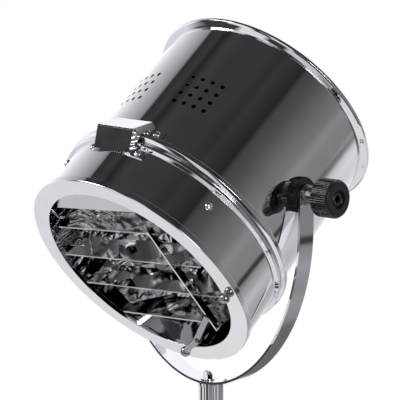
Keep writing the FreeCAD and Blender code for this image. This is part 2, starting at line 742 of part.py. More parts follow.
# ---------------------------------------------------------------- inside and back of the head
def inside():
    """Reflector and its ring, bulb, lampholder, rear cover with screws and cable gland."""
    line = []
    for k in range(reflector_steps + 1):
        share = k / reflector_steps
        s = reflector_mouth_s + (reflector_neck_s - reflector_mouth_s) * share
        spread = reflector_mouth_radius - reflector_neck_radius
        line.append((s, reflector_neck_radius + spread * math.sqrt(1 - share ** 2)))
    line[-1] = (reflector_neck_s + 3, reflector_neck_radius)
    keep("reflector", place_head(spun_sheet(line, reflector_sheet)))
    ring_back = reflector_mouth_s - seat_gap
    keep("reflector_ring", place_head(spun([
        (ring_back - reflector_ring_width, reflector_mouth_radius - reflector_lip),
        (ring_back - reflector_ring_width, drum_inner - near), (ring_back, drum_inner - near),
        (ring_back, reflector_mouth_radius - reflector_lip)])))

    holder = spun([
        (holder_front_s, bulb_cap_radius + seat_gap), (holder_front_s, holder_radius),
        (cover_flat_s - holder_flange_thickness, holder_radius),
        (cover_flat_s - holder_flange_thickness, holder_flange_radius),
        (cover_flat_s - hair, holder_flange_radius), (cover_flat_s - hair, 0),
        (holder_front_s + bulb_cap_depth, 0), (holder_front_s + bulb_cap_depth, bulb_cap_radius + seat_gap),
    ])
    keep("lampholder", place_head(holder))

    neck_s = bulb_centre_s + bulb_radius * 0.85
    steps = 6
    glass = []
    for k in range(steps + 1):
        a = math.pi * (1 - k / steps * 0.82)
        glass.append((bulb_centre_s + bulb_radius * math.cos(a), bulb_radius * math.sin(a)))
    glass[0] = (bulb_centre_s - bulb_radius, 0)
    glass += [(neck_s + 8, bulb_neck_radius), (holder_front_s - 1, bulb_neck_radius),
              (holder_front_s - 1, bulb_cap_radius),
              (holder_front_s + bulb_cap_depth - seat_gap, bulb_cap_radius),
              (holder_front_s + bulb_cap_depth - seat_gap, 0)]
    keep("bulb", place_head(spun(glass)))

    cover_line = [
        (cover_flat_s + sheet + cover_dish, 0.0),
        (cover_flat_s + sheet + cover_dish, cover_dish_radius - cover_step),
        (cover_flat_s + sheet, cover_dish_radius), (cover_flat_s + sheet, cover_radius),
    ]
    cover = spun([
        (cover_flat_s + hair, 0), (cover_flat_s + hair, cover_middle_radius),
        (cover_flat_s + cover_dish, cover_middle_radius + cover_step),
        (cover_flat_s + cover_dish, cover_dish_radius - cover_step - sheet / 2),
        (cover_flat_s + hair, cover_dish_radius - sheet / 2), (cover_flat_s + hair, cover_radius),
    ] + cover_line[::-1])
    holes = [rod(Vector(0, cover_flat_s - 2 * overreach, -gland_drop),
                 Vector(0, head_length + overreach, -gland_drop), gland_radius - gland_shoulder)]
    screws = []
    for k in range(cover_screw_count):
        angle = 90 + 360.0 / cover_screw_count * k
        base = radial(angle, cover_seat_radius, cover_flat_s + sheet + hair)
        holes.append(rod(base - Vector(0, 10, 0), base + Vector(0, 10, 0), rivet_shank_radius + fit))
        screws.append(place_head(dome_screw(base, Y_AXIS, rivet_radius - 0.7, rivet_height,
                                            rivet_shank_radius, rivet_grip)))
    keep("cover_screws", compound(screws))
    keep("rear_cover", place_head(cover.cut(holes)))
    rim_holes = []
    for k in range(cover_screw_count):
        base = radial(90 + 360.0 / cover_screw_count * k, cover_seat_radius, cover_flat_s)
        rim_holes.append(place_head(rod(base - Vector(0, 6, 0), base + Vector(0, 3, 0),
                                        rivet_shank_radius + fit)))
    keep("rear_rim", PIECES["rear_rim"].cut(rim_holes))

    wall_out = cover_flat_s + sheet + cover_dish + hair
    wall_in = cover_flat_s + cover_dish - hair
    gland = joined([
        rod(Vector(0, wall_out, -gland_drop), Vector(0, wall_out + gland_length, -gland_drop),
            gland_radius),
        rod(Vector(0, wall_in - gland_thread_length, -gland_drop),
            Vector(0, wall_out + 1, -gland_drop), gland_radius - gland_shoulder - fit),
        rod(Vector(0, wall_in - gland_nut_length, -gland_drop), Vector(0, wall_in, -gland_drop),
            gland_nut_radius),
    ])
    bore = rod(Vector(0, wall_in - gland_thread_length - overreach, -gland_drop),
               Vector(0, wall_out + gland_length + overreach, -gland_drop), gland_bore)
    keep("cable_gland", place_head(gland.cut(bore)))


# ---------------------------------------------------------------- tilt pivot
def sideways(shape, side):
    """Turn a piece drawn along Z to lie along +X or -X, at the pivot."""
    turned = shape.copy()
    turn = Placement(ORIGIN, Rotation(Vector(0, 0, 1), Vector(side, 0, 0)))
    turned.Placement = turn.multiply(turned.Placement)
    return turned


def pivot_side(side, label):
    """Serrated hub, bolt with inner nut, and ribbed knob of one side."""
    shift = Vector(0, pivot_setback, 0)
    drum_solid = spun([(0, 0), (0, drum_radius + hair), (head_length, drum_radius + hair),
                       (head_length, 0)])
    hub = ribbed(hub_radius, hub_tooth_depth, hub_teeth, hub_blank_length)
    hub.translate(Vector(0, 0, hub_outer_x - hub_blank_length))
    hub = sideways(hub, side)
    hub.translate(shift)
    hub = hub.cut(drum_solid)
    bore = rod(Vector(side * (hub_outer_x - bolt_hole_reach), pivot_setback, 0),
               Vector(side * (hub_outer_x + bolt_hole_reach), pivot_setback, 0), bolt_radius + fit)
    keep("hub_disc_" + label, place_head(hub.cut(bore)))

    flat = math.sqrt(drum_inner ** 2 - bolt_nut_radius ** 2) - 0.1
    nut = rod(Vector(side * (flat - bolt_nut_thickness), pivot_setback, 0),
              Vector(side * flat, pivot_setback, 0), bolt_nut_radius)
    shaft_end = knob_end_x - knob_recess_depth - bolt_end_short
    shaft = rod(Vector(side * (flat - bolt_nut_thickness), pivot_setback, 0),
                Vector(side * shaft_end, pivot_setback, 0), bolt_radius)
    keep("pivot_bolt_" + label, place_head(joined([nut, shaft])))

    neck = Part.makeCylinder(knob_neck_radius, knob_neck_length, Vector(0, 0, knob_start_x))
    body = ribbed(knob_radius, knob_rib_depth, knob_ribs, knob_body_length)
    body.translate(Vector(0, 0, knob_ribs_x))
    nose = Part.makeCone(knob_radius - knob_rib_depth, knob_face_radius, knob_chamfer,
                         Vector(0, 0, knob_face_x))
    recess = Part.makeCylinder(knob_recess_radius, knob_recess_depth,
                               Vector(0, 0, knob_end_x - knob_recess_depth))
    blind = Part.makeCylinder(bolt_radius + fit, shaft_end + 1.0 - knob_start_x,
                              Vector(0, 0, knob_start_x))
    boss = Part.makeCylinder(knob_recess_radius - knob_boss_margin, knob_boss_height,
                             Vector(0, 0, knob_end_x - knob_recess_depth))
    knob = joined([neck, body, nose]).cut([recess, blind]).fuse(boss)
    knob = sideways(knob, side)
    knob.translate(Vector(0, 0, pivot_height))
    keep("tilt_knob_" + label, knob)


# ---------------------------------------------------------------- yoke and stem
def u_line(half_span, depth, straight):
    """Edges of a U: two straight sides and half an ellipse."""
    zc = pivot_height - straight
    left = Vector(-half_span, 0, zc)
    right = Vector(half_span, 0, zc)
    low = Vector(0, 0, zc - depth)
    if depth > half_span:
        ellipse = Part.Ellipse(low, Vector(half_span, 0, zc), Vector(0, 0, zc))
    else:
        ellipse = Part.Ellipse(right, low, Vector(0, 0, zc))
    first = ellipse.parameter(left)
    last = ellipse.parameter(right)
    if first > last:
        last += 2 * math.pi
    middle = ellipse.value((first + last) / 2)
    if middle.z > zc:
        first, last = last, first + 2 * math.pi
    return Part.Arc(ellipse, first, last).toShape(), left, right


def yoke():
    """Strap, washers, cap nut, small screw, stem tube, second tube and swivel block."""
    outer_half = strap_inner_x + strap_thickness
    top = pivot_height
    outer_arc, ol, orr = u_line(outer_half, strap_depth + strap_thickness, strap_straight)
    inner_arc, il, ir = u_line(strap_inner_x, strap_depth, strap_straight)
    edges = [
        outer_arc, Part.makeLine(orr, Vector(outer_half, 0, top)),
        Part.makeLine(Vector(outer_half, 0, top), Vector(strap_inner_x, 0, top)),
        Part.makeLine(Vector(strap_inner_x, 0, top), ir), inner_arc,
        Part.makeLine(il, Vector(-strap_inner_x, 0, top)),
        Part.makeLine(Vector(-strap_inner_x, 0, top), Vector(-outer_half, 0, top)),
        Part.makeLine(Vector(-outer_half, 0, top), ol),
    ]
    wire = Part.Wire(Part.__sortEdges__(edges))
    strap = Part.Face(wire).extrude(Vector(0, strap_width, 0))
    strap.translate(Vector(0, -strap_width / 2, 0))
    pieces = [strap]
    for side in (-1, 1):
        pieces.append(rod(Vector(side * strap_inner_x, 0, top), Vector(side * outer_half, 0, top),
                          strap_width / 2))
    strap = joined(pieces)
    holes = [rod(Vector(-outer_half - overreach, 0, top), Vector(outer_half + overreach, 0, top),
                 bolt_radius + fit)]
    holes.append(rod(Vector(0, 0, strap_underside - 4 * overreach),
                     Vector(0, 0, strap_bottom + 4 * overreach), stud_radius + fit))
    zc = pivot_height - strap_straight
    screw_z = zc - strap_depth * math.sqrt(1 - (strap_screw_x / strap_inner_x) ** 2)
    lean = math.atan(strap_depth / strap_inner_x * (strap_screw_x / strap_inner_x)
                     / math.sqrt(1 - (strap_screw_x / strap_inner_x) ** 2))
    up = Vector(-math.sin(lean), 0, math.cos(lean))
    base = Vector(strap_screw_x, 0, screw_z) + up * 0.15
    holes.append(rod(base - up * 12, base + up * 5, rivet_shank_radius + fit))
    keep("yoke_strap", strap.cut(holes))
    keep("strap_screw", dome_screw(base, up, rivet_radius, rivet_height, rivet_shank_radius,
                                   rivet_grip + 1))

    washers = []
    for side in (-1, 1):
        for start, thickness in ((hub_outer_x + hair, washer_inner_thickness - near),
                                 (strap_outer_x + hair, outer_washer_thickness)):
            washers.append(tube(Vector(side * start, 0, top), Vector(side * (start + thickness), 0, top),
                                washer_radius, bolt_radius + fit))
    keep("strap_washers", compound(washers))

    spacers = []
    for side in (-1, 1):
        spacers.append(tube(Vector(side * spacer_start_x, 0, top), Vector(side * spacer_end_x, 0, top),
                            knob_spacer_radius, bolt_radius + fit))
    keep("knob_spacers", compound(spacers))

    washer_seat = strap_bottom + strap_rise(cap_washer_radius, strap_inner_x, strap_depth) + hair
    nut_base = washer_seat + cap_washer_thickness
    hexagon = [Vector(cap_nut_radius * math.cos(math.radians(60 * k + 8)),
                      cap_nut_radius * math.sin(math.radians(60 * k + 8)), nut_base) for k in range(6)]
    hexagon.append(hexagon[0])
    nut = Part.Face(Part.makePolygon(hexagon)).extrude(Vector(0, 0, cap_nut_height * 0.7))
    crown = dome(cap_nut_radius * 0.82, cap_nut_height * 0.45, Vector(0, 0,
                                                                      nut_base + cap_nut_height * 0.7),
                 Vector(0, 0, 1))
    washer = Part.makeCylinder(cap_washer_radius, cap_washer_thickness, Vector(0, 0, washer_seat))
    stud_top = nut_base + cap_nut_height * 0.5
    bore = Part.makeCylinder(stud_radius + fit, stud_top + 0.3 - strap_bottom, Vector(0, 0, strap_bottom))
    keep("cap_nut", joined([nut, crown, washer]).cut(bore))

    stem_top = strap_underside - 0.15
    stem = tube(Vector(0, 0, block_top - stem_socket_depth), Vector(0, 0, stem_top - 2), stem_radius,
                stem_radius - stem_wall)
    head = Part.makeCylinder(stem_collar_radius, stem_collar_height,
                             Vector(0, 0, stem_top - stem_collar_height))
    stud = Part.makeCylinder(stud_radius, stud_top - stem_top + 1, Vector(0, 0, stem_top - 1))
    keep("stem_tube", joined([stem, head, stud]))

    near_side = conduit_x - conduit_radius
    conduit_top = strap_underside + strap_rise(near_side, outer_half, strap_depth + strap_thickness) - 0.1
    keep("conduit", tube(Vector(conduit_x, 0, block_top - stem_socket_depth),
                         Vector(conduit_x, 0, conduit_top), conduit_radius,
                         conduit_radius - conduit_wall))

    body = Part.makeCylinder(block_radius, block_height, Vector(0, 0, block_bottom))
    arm = box(Vector(0, -conduit_radius - arm_wall, block_top - arm_height),
              Vector(conduit_x, conduit_radius + arm_wall, block_top))
    arm_end = Part.makeCylinder(conduit_radius + arm_wall, arm_height,
                                Vector(conduit_x, 0, block_top - arm_height))
    block = joined([body, arm, arm_end])
    socket = Part.makeCylinder(socket_radius, block_socket_depth, Vector(0, 0, block_bottom))
    stem_hole = Part.makeCylinder(stem_radius, stem_socket_depth, Vector(0, 0,
                                                                         block_top - stem_socket_depth))
    conduit_hole = Part.makeCylinder(conduit_radius, stem_socket_depth,
                                     Vector(conduit_x, 0, block_top - stem_socket_depth))
    thumb_hole = rod(Vector(0, 0, pan_knob_height()), Vector(0, -3 * block_radius, pan_knob_height()),
                     thumb_shaft_radius + fit)
    keep("swivel_block", block.cut([socket, stem_hole, conduit_hole, thumb_hole]))


def strap_rise(x, half_span, depth):
    """How far the bent strap has risen above its lowest point at a distance from the middle."""
    return depth * (1 - math.sqrt(1 - (x / half_span) ** 2))


def pan_knob_height():
    """Height of the swivel lock knob, halfway up its socket."""
    return block_bottom + block_socket_depth / 2


def thumb_knob(name, tip, surface, height, angle):
    """Ribbed thumb knob whose shaft runs in from a round body to a tip radius."""
    shaft = Part.makeCylinder(thumb_shaft_radius, surface + thumb_reach - tip, Vector(0, 0, tip))
    head = ribbed(thumb_radius, thumb_rib_depth, thumb_ribs, thumb_length)
    head.translate(Vector(0, 0, surface + thumb_reach - thumb_lap))
    collar = Part.makeCylinder(thumb_shaft_radius + thumb_collar_step, thumb_reach - thumb_collar_gap,
                               Vector(0, 0, surface + thumb_collar_gap))
    knob = joined([shaft, head, collar])
    a = math.radians(angle)
    knob.Placement = Placement(Vector(0, 0, height),
                               Rotation(Vector(0, 0, 1), Vector(math.cos(a), math.sin(a), 0)))
    keep(name, knob)


# ---------------------------------------------------------------- mast
def mast():
    """Telescoping mast with its clamp and lock knobs."""
    spigot_top = block_bottom + block_socket_depth - seat_gap
    keep("upper_mast", tube(Vector(0, 0, lower_mast_bottom + upper_mast_clearance), Vector(0, 0,
                                                                                           spigot_top),
                            upper_mast_radius, upper_mast_radius - upper_mast_wall))
    lower = tube(Vector(0, 0, lower_mast_bottom), Vector(0, 0, lower_mast_top), lower_mast_radius,
                 lower_mast_inner)
    knob_height = lower_mast_top - clamp_height / 2 + clamp_step
    knob_hole = rod(Vector(0, 0, knob_height), Vector(0, -3 * block_radius, knob_height),
                    thumb_shaft_radius + fit)
    keep("lower_mast", lower.cut(knob_hole))
    clamp_low = lower_mast_top - clamp_height + clamp_step
    clamp = Part.makeCylinder(clamp_radius, clamp_height, Vector(0, 0, clamp_low))
    clamp = clamp.cut(Part.makeCylinder(lower_mast_radius, clamp_height,
                                        Vector(0, 0, lower_mast_top - clamp_height)))
    clamp = clamp.cut(Part.makeCylinder(upper_mast_radius + seat_gap, clamp_height,
                                        Vector(0, 0, lower_mast_top - 1)))
    keep("mast_clamp", clamp.cut(knob_hole))
    thumb_knob("mast_clamp_knob", upper_mast_radius + seat_gap, clamp_radius, knob_height, -90)
    thumb_knob("pan_lock_knob", upper_mast_radius + seat_gap, block_radius, pan_knob_height(), -90)
    cap = Part.makeCylinder(lower_mast_radius, mast_cap_thickness,
                            Vector(0, 0, lower_mast_bottom - mast_cap_thickness - hair))
    plug = Part.makeCylinder(lower_mast_inner - hair, mast_plug_length,
                             Vector(0, 0, lower_mast_bottom - mast_cap_thickness / 3))
    keep("mast_end_cap", joined([cap, plug]))


# ---------------------------------------------------------------- tripod
def leg_place(shape, index):
    """Carry a piece drawn along the leg, hinge at the origin and leg along -Z, to its leg."""
    placed = shape.copy()
    placed.rotate(ORIGIN, Y_AXIS, -leg_lean)
    placed.translate(Vector(hinge_circle, 0, hinge_height))
    placed.rotate(ORIGIN, Vector(0, 0, 1), first_leg_angle + 360.0 / leg_count * index)
    return placed


def around(shape, index):
    """Turn an upright piece drawn on +X to its leg's side."""
    placed = shape.copy()
    placed.rotate(ORIGIN, Vector(0, 0, 1), first_leg_angle + 360.0 / leg_count * index)
    return placed


def tripod():
    """Crown, hinge bolts, and three telescopic legs with twist locks and rubber feet."""
    half_gap = leg_tongue_thickness / 2 + seat_gap
    ear_outer = half_gap + crown_ear_thickness
    crown_low = hinge_height - crown_height / 2
    pieces = [Part.makeCylinder(crown_radius, crown_height, Vector(0, 0, crown_low))]
    bolt_holes = []
    bolts = []
    for k in range(leg_count):
        for side in (-1, 1):
            y0 = side * (half_gap + crown_ear_thickness / 2)
            ear = box(Vector(0, y0 - crown_ear_thickness / 2, hinge_height - crown_ear_radius),
                      Vector(hinge_circle, y0 + crown_ear_thickness / 2, hinge_height + crown_ear_radius))
            nose = rod(Vector(hinge_circle, y0 - crown_ear_thickness / 2, hinge_height),
                       Vector(hinge_circle, y0 + crown_ear_thickness / 2, hinge_height), crown_ear_radius)
            pieces += [around(ear, k), around(nose, k)]
        bolt_holes.append(around(rod(Vector(hinge_circle, -crown_height, hinge_height),
                                     Vector(hinge_circle, crown_height, hinge_height),
                                     hinge_bolt_radius + fit), k))
        end = ear_outer + hinge_head_thickness
        shaft = rod(Vector(hinge_circle, -end, hinge_height), Vector(hinge_circle, end, hinge_height),
                    hinge_bolt_radius)
        heads = []
        for side in (-1, 1):
            heads.append(rod(Vector(hinge_circle, side * (ear_outer + 0.1), hinge_height),
                             Vector(hinge_circle, side * end, hinge_height), hinge_head_radius))
        bolts.append(around(joined([shaft] + heads), k))
    crown = joined(pieces)
    cuts = [Part.makeCylinder(lower_mast_radius, 3 * crown_height, Vector(0, 0, crown_low - crown_height))]
    for k in range(leg_count):
        slot = box(Vector(hinge_circle - leg_eye_radius - hinge_slot_margin, -half_gap,
                          crown_low - crown_height),
                   Vector(hinge_circle + crown_height, half_gap, hinge_height + crown_height))
        cuts.append(around(slot, k))
    keep("tripod_crown", crown.cut(cuts + bolt_holes))
    keep("leg_bolts", compound(bolts))

    leg_length = leg_run / math.sin(math.radians(leg_lean))
    for k in range(leg_count):
        number = str(k + 1)
        half = leg_tongue_thickness / 2
        eye = rod(Vector(0, -half, 0), Vector(0, half, 0), leg_eye_radius)
        tongue = box(Vector(-leg_eye_radius, -half, -leg_tube_start - leg_tongue_lap),
                     Vector(leg_eye_radius, half, 0))
        plug = Part.makeCylinder(leg_upper_radius, leg_plug_length,
                                 Vector(0, 0, -leg_tube_start - leg_plug_length))
        pipe = tube(Vector(0, 0, -leg_upper_end), Vector(0, 0, -leg_tube_start - leg_tube_lap),
                    leg_upper_radius,
                    leg_upper_radius - leg_wall)
        envelope = Part.makeCylinder(leg_upper_radius - near / 10, far, Vector(0, 0, leg_eye_radius - far))
        inside_tongue = tongue.common(envelope)
        fitting = joined([eye, inside_tongue, plug, pipe])
        pin_hole = rod(Vector(0, -leg_tongue_thickness, 0), Vector(0, leg_tongue_thickness, 0),
                       hinge_bolt_radius + fit)
        keep("leg_upper_" + number, leg_place(fitting.cut(pin_hole), k))

        lower_start = leg_upper_end - leg_lower_overlap
        lower_end = leg_length - foot_socket_start
        lower = tube(Vector(0, 0, -lower_end), Vector(0, 0, -lower_start), leg_lower_radius,
                     leg_lower_radius - leg_wall)
        keep("leg_lower_" + number, leg_place(lower, k))

        lock = ribbed(leg_lock_radius, leg_lock_rib_depth, leg_lock_ribs, leg_lock_length)
        lock.translate(Vector(0, 0, -leg_upper_end - leg_lock_below))
        upper_bore = Part.makeCylinder(leg_upper_radius + fit, leg_lock_length,
                                       Vector(0, 0, -leg_upper_end - seat_gap))
        lower_bore = Part.makeCylinder(leg_lower_radius + fit, leg_lock_length,
                                       Vector(0, 0, -leg_upper_end - leg_lock_below - overreach))
        keep("leg_lock_" + number, leg_place(lock.cut([upper_bore, lower_bore]), k))

        sleeve = Part.makeCylinder(foot_sleeve_radius, foot_sleeve_length, Vector(0, 0, -leg_length))
        sleeve = leg_place(sleeve, k)
        pad = Part.makeCone(foot_radius, foot_sleeve_radius, foot_height, Vector(foot_circle, 0, 0))
        pad = around(pad, k)
        foot = joined([pad, sleeve])
        below = box(Vector(-far, -far, -far), Vector(far, far, 0))
        socket = Part.makeCylinder(leg_lower_radius, foot_sleeve_length, Vector(0, 0, -lower_end))
        keep("rubber_foot_" + number, foot.cut([below, leg_place(socket, k)]))


front_shell()
drum_shell()
top_bracket()
louvre()
inside()
pivot_side(1, "right")
pivot_side(-1, "left")
yoke()
mast()
tripod()

os.makedirs("parts", exist_ok=True)
for name, shape in PIECES.items():
    shape.exportStep("parts/%s.step" % name)
    print("%-20s solids %d valid %s volume %.0f" % (name, len(shape.Solids), shape.isValid(), shape.Volume))
print("pieces", len(PIECES))
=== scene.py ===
# %% [markdown]
# # A chrome spotlight on a floor tripod
# The lamp looks like an old stage spotlight: a chrome drum with a louvre in its mouth, hung in a
# bent strap on a telescopic stem. The engineered solids are loaded first and stay where they
# are. Everything after that either gives a solid its finish or stands in for it with a smoother
# piece, and each piece moves with the part of the lamp that it belongs to.

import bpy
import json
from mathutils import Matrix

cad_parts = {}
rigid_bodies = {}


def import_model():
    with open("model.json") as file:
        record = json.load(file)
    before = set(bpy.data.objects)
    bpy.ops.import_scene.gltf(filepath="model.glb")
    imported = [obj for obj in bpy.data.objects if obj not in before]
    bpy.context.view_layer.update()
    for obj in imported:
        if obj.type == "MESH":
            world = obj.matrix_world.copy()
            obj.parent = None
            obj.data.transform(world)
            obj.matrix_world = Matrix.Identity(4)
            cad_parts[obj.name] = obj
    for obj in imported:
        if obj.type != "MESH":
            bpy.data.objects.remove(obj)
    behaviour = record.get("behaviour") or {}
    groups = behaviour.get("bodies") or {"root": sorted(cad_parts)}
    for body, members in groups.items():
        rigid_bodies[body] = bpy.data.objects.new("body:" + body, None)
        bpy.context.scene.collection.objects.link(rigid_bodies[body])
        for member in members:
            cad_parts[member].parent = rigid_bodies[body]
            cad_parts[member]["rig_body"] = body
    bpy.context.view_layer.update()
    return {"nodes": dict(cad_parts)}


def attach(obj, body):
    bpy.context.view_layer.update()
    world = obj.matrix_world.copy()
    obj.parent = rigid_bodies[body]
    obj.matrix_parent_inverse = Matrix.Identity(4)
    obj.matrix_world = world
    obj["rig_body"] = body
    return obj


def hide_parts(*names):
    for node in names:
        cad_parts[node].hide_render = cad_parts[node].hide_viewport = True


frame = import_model()

# %% [markdown]
# ## The lamp's own measurements
# Sizes are written in millimetres, as on a drawing, and turned into metres by one factor. The
# head is drawn level, with its axis along y and its front plate at y = 0. One matrix then tilts
# it and carries it to the tilt pivot, as a maker would hang the finished head in its strap. That
# is easier to read than outlines drawn at 38 degrees.

# %% Measurements and the way to the tilted head
import json
import math
import bmesh
import bpy
from mathutils import Matrix, Vector

MM = 0.001
PIVOT_HEIGHT = 1500.0
PIVOT_SETBACK = 153.6
HEAD_TILT = 38.0

to_pivot = Matrix.Translation((0, 0, PIVOT_HEIGHT * MM))
to_head = (to_pivot @ Matrix.Rotation(math.radians(HEAD_TILT), 4, "X")
           @ Matrix.Translation((0, -PIVOT_SETBACK * MM, 0)))
print("middle of the front plate:", [round(c, 3) for c in to_head.translation])

# %% [markdown]
# ## Small helpers for node graphs
# A finish in Blender is a small graph of nodes. Noise gives a pattern, a colour ramp turns the
# pattern into colours, a map range turns it into another range of numbers, and a bump node turns
# it into tiny hills. These steps come back in every finish, and in the room at the end, so each
# one gets a short helper. The keywords are the names of a node's sockets.

# %% Helpers for node graphs
def add_node(tree, kind, **sockets):
    node = tree.nodes.new("ShaderNode" + kind)
    for name, value in sockets.items():
        node.inputs[name.replace("_", " ")].default_value = value
    return node


def noise(tree, place, scale, detail, roughness=0.5):
    texture = add_node(tree, "TexNoise", Scale=scale, Detail=detail, Roughness=roughness)
    tree.links.new(place, texture.inputs["Vector"])
    return texture.outputs["Fac"]


def bump(tree, height, strength, distance, normal=None):
    hills = add_node(tree, "Bump", Strength=strength, Distance=distance)
    tree.links.new(height, hills.inputs["Height"])
    if normal is not None:
        tree.links.new(normal, hills.inputs["Normal"])
    return hills.outputs["Normal"]


def spread(tree, value, low, high, to_low=0.0, to_high=1.0):
    mapped = add_node(tree, "MapRange", From_Min=low, From_Max=high, To_Min=to_low,
                      To_Max=to_high)
    tree.links.new(value, mapped.inputs["Value"])
    return mapped.outputs["Result"]


def colour_ramp(tree, value, stops):
    ramp = add_node(tree, "ValToRGB")
    tree.links.new(value, ramp.inputs["Fac"])
    elements = ramp.color_ramp.elements
    while len(elements) < len(stops):
        elements.new(0.5)
    for element, (position, colour) in zip(elements, stops):
        element.position = position
        element.color = (*colour, 1)
    return ramp.outputs["Color"]


def start_finish(name):
    finish = bpy.data.materials.new(name)
    finish.use_nodes = True
    tree = finish.node_tree
    place = add_node(tree, "TexCoord").outputs["Object"]
    return finish, tree, tree.nodes["Principled BSDF"], place


# %% [markdown]
# ## Chrome
# Chrome plate is a mirror with next to no colour of its own. What makes it look real is what
# spoils it: a slight waviness from the rolled sheet, faint polishing marks, and fingerprints
# that dull it in patches. All three are built from noise on the piece's own coordinates, so
# they stay on the metal when the lamp moves. The same recipe with other numbers gives the steel
# of the fixings and the aluminium of the reflector, which is also dented all over by a hammer,
# so that it scatters the bulb's light. The louvre's sheet is thinner, so it is buckled a little.
# Its chrome is also given a darker tone than the drum's, and the lever and the two balls a far
# darker one: both are painted shade, which stands in for the darker reflections on these parts.

# %% A helper that builds a metal
def metal(name, tone, dull, wave, patch_scale, mark_scale=900.0, mark_stretch=(1, 1, 1),
          facet_scale=None, facet_depth=0.0):
    finish, tree, shader, place = start_finish(name)
    shader.inputs["Metallic"].default_value = 1.0
    patches = noise(tree, place, scale=patch_scale, detail=5.0, roughness=0.6)
    smudged = [c * 0.93 for c in tone]
    tree.links.new(colour_ramp(tree, patches, [(0.3, smudged), (0.6, tone)]),
                   shader.inputs["Base Color"])
    tree.links.new(spread(tree, patches, 0.35, 0.75, *dull), shader.inputs["Roughness"])
    stretch = add_node(tree, "Mapping", Scale=mark_stretch)
    tree.links.new(place, stretch.inputs["Vector"])
    marks = noise(tree, stretch.outputs["Vector"], scale=mark_scale, detail=3.0)
    waves = noise(tree, place, scale=11.0, detail=1.0)
    surface = bump(tree, marks, strength=0.02, distance=0.0002)
    surface = bump(tree, waves, strength=1.0, distance=wave, normal=surface)
    if facet_scale:
        cells = add_node(tree, "TexVoronoi", Scale=facet_scale)
        tree.links.new(place, cells.inputs["Vector"])
        surface = bump(tree, cells.outputs["Distance"], strength=1.0, distance=facet_depth,
                       normal=surface)
    tree.links.new(surface, shader.inputs["Normal"])
    return finish


# %% [markdown]
# ## Six metals from one recipe
# The tone is how much light the metal gives back, and the two numbers for dull are its roughness
# where it is clean and where it is smudged. The wave is how far the sheet is from flat, in
# metres. Real chrome gives back a little more blue than red, and polished aluminium is the
# brightest of the six.

# %% The metals
chrome = metal("mirror chrome", tone=(0.86, 0.85, 0.88), dull=(0.02, 0.06), wave=0.00018,
               patch_scale=16.0)
fixing_steel = metal("plated steel fixings", tone=(0.74, 0.74, 0.76), dull=(0.10, 0.22),
                     wave=0.0001, patch_scale=60.0)
reflector_metal = metal("spun reflector aluminium", tone=(0.92, 0.92, 0.93), dull=(0.03, 0.08),
                        wave=0.0012, patch_scale=30.0, mark_scale=420.0, mark_stretch=(1, 6, 1),
                        facet_scale=24.0, facet_depth=0.005)
# Painted shade: the louvre's blades and plate get a darker copy of the chrome, so that they
# reflect less light than the drum.
louvre_painted_shade_chrome = metal("louvre chrome, painted shade", tone=(0.62, 0.62, 0.63), dull=(0.02, 0.07), wave=0.0010,
                      patch_scale=30.0, mark_scale=300.0, mark_stretch=(1, 9, 9),
                      facet_scale=14.0, facet_depth=0.0020)
# Painted shade: the lever and the two balls get a much darker chrome, which stands in for the
# dark surroundings that they reflect.
painted_shade_chrome = metal("darkest chrome, painted shade", tone=(0.36, 0.36, 0.37), dull=(0.03, 0.08), wave=0.0001,
                      patch_scale=40.0)
dark_sheet = metal("dark plated sheet", tone=(0.048, 0.048, 0.05), dull=(0.34, 0.46),
                   wave=0.0002, patch_scale=45.0)
metals = (chrome, fixing_steel, reflector_metal, louvre_painted_shade_chrome, painted_shade_chrome, dark_sheet)
print("metals:", [finish.name for finish in metals])

# %% [markdown]
# ## Plastic, rubber, glass and glazed ceramic
# The knobs are moulded plastic with a fine matt grain, which is only a shallow bump and a little
# unevenness in the gloss. Rubber is the same idea, rougher and greyer. The bulb's opal glass is
# white and glossy with a soft glow of light passing through it, and the lampholder is glazed
# ceramic, smooth with tiny dimples. One helper makes all four, because they differ only in
# numbers.

# %% Moulded and glazed materials
def moulded(name, tone, gloss, grain_scale, grain_depth, coat=0.0, through=0.0):
    finish, tree, shader, place = start_finish(name)
    shader.inputs["Coat Weight"].default_value = coat
    shader.inputs["Subsurface Weight"].default_value = through
    shader.inputs["Subsurface Radius"].default_value = (0.01, 0.01, 0.01)
    cloud = noise(tree, place, scale=38.0, detail=6.0)
    darker = [c * 0.86 for c in tone]
    lighter = [min(1.0, c * 1.12) for c in tone]
    tree.links.new(colour_ramp(tree, cloud, [(0.35, darker), (0.7, lighter)]),
                   shader.inputs["Base Color"])
    tree.links.new(spread(tree, cloud, 0.3, 0.7, *gloss), shader.inputs["Roughness"])
    grain = noise(tree, place, scale=grain_scale, detail=4.0)
    tree.links.new(bump(tree, grain, strength=0.35, distance=grain_depth),
                   shader.inputs["Normal"])
    return finish


knob_plastic = moulded("moulded black plastic", tone=(0.006, 0.006, 0.007), gloss=(0.15, 0.26),
                       grain_scale=900.0, grain_depth=0.00002)
foot_rubber = moulded("black rubber", tone=(0.022, 0.022, 0.022), gloss=(0.62, 0.82),
                      grain_scale=900.0, grain_depth=0.0004)
opal_glass = moulded("opal bulb glass", tone=(0.86, 0.86, 0.84), gloss=(0.05, 0.12),
                     grain_scale=120.0, grain_depth=0.00005, coat=0.6, through=0.35)
glazed_ceramic = moulded("glazed ceramic", tone=(0.78, 0.77, 0.73), gloss=(0.14, 0.26),
                         grain_scale=260.0, grain_depth=0.0002, coat=0.4)
by_slot = {
    "polished_chrome": chrome, "steel": fixing_steel, "spun_aluminium": reflector_metal,
    "dark_plate": dark_sheet, "black_plastic": knob_plastic, "black_rubber": foot_rubber,
    "bulb_glass": opal_glass, "ceramic": glazed_ceramic,
}
print("finishes ready:", len(by_slot))
